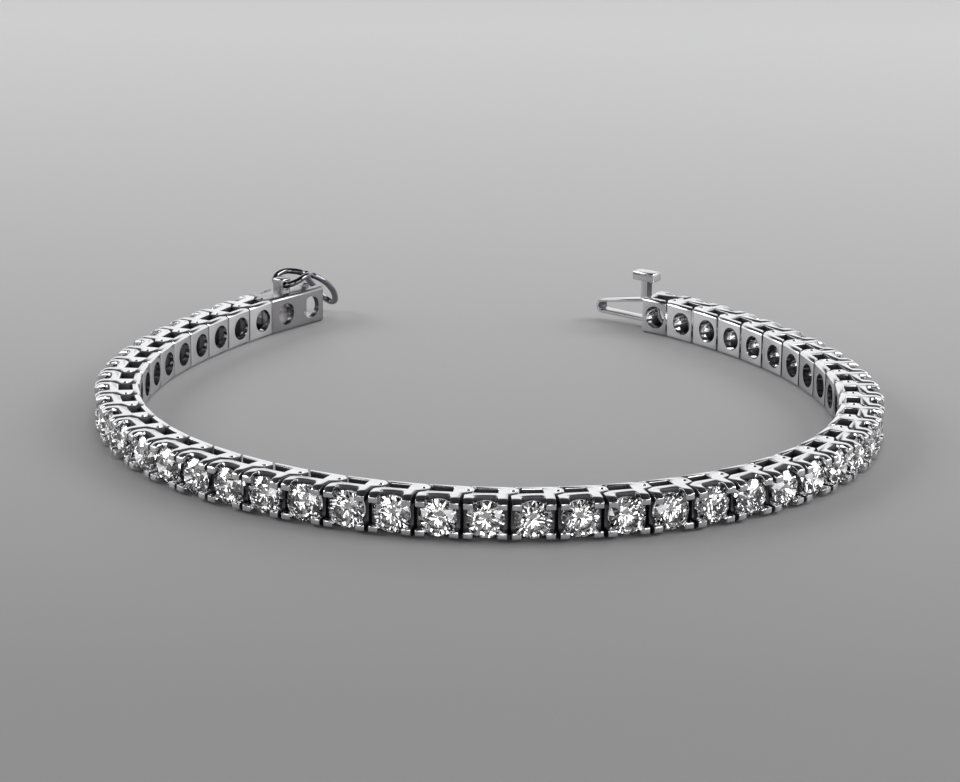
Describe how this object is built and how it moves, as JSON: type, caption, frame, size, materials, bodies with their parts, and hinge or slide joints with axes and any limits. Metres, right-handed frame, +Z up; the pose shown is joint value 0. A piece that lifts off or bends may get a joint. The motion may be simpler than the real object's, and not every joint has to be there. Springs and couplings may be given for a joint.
{
  "type": "tennis bracelet",
  "caption": "Open tennis bracelet standing on its edge: square four-prong links for round stones, a hollow box clasp with a hinged figure-eight safety catch, and a folded spring tongue.",
  "frame": {"origin": "on the resting surface, under the middle of the bracelet's bounding box", "axes": "+Z up, across the band; -Y towards the middle of the row of links; +Y towards the open clasp ends; +X to the right"},
  "size_m": [0.0702, 0.0718, 0.0058],
  "materials": {
    "link_metal": "polished rhodium-plated white gold",
    "clasp_metal": "polished rhodium-plated white gold with fine wear",
    "wire_metal": "polished white gold wire",
    "stone": "clear faceted round stones"
  },
  "bodies": {
    "bracelet": {"tongue_link": "clasp_metal", "link_01": "link_metal", "link_02": "link_metal", "link_03": "link_metal", "link_04": "link_metal", "link_05": "link_metal", "link_06": "link_metal", "link_07": "link_metal", "link_08": "link_metal", "link_09": "link_metal", "link_10": "link_metal", "link_11": "link_metal", "link_12": "link_metal", "link_13": "link_metal", "link_14": "link_metal", "link_15": "link_metal", "link_16": "link_metal", "link_17": "link_metal", "link_18": "link_metal", "link_19": "link_metal", "link_20": "link_metal", "link_21": "link_metal", "link_22": "link_metal", "link_23": "link_metal", "link_24": "link_metal", "link_25": "link_metal", "link_26": "link_metal", "link_27": "link_metal", "link_28": "link_metal", "link_29": "link_metal", "link_30": "link_metal", "link_31": "link_metal", "link_32": "link_metal", "link_33": "link_metal", "link_34": "link_metal", "link_35": "link_metal", "link_36": "link_metal", "link_37": "link_metal", "link_38": "link_metal", "link_39": "link_metal", "link_40": "link_metal", "link_41": "link_metal", "link_42": "link_metal", "link_43": "link_metal", "link_44": "link_metal", "link_45": "link_metal", "link_46": "link_metal", "clasp_box": "clasp_metal"},
    "catch": {"safety_catch": "wire_metal"}
  },
  "joints": [
    {"name": "safety_catch_hinge", "type": "hinge", "parent": "bracelet", "child": "catch", "pos_m": [-0.02157, 0.02953, 0.0042], "axis": [0.7986, -0.6018, 0], "range_deg": [0, 110]}
  ]
}
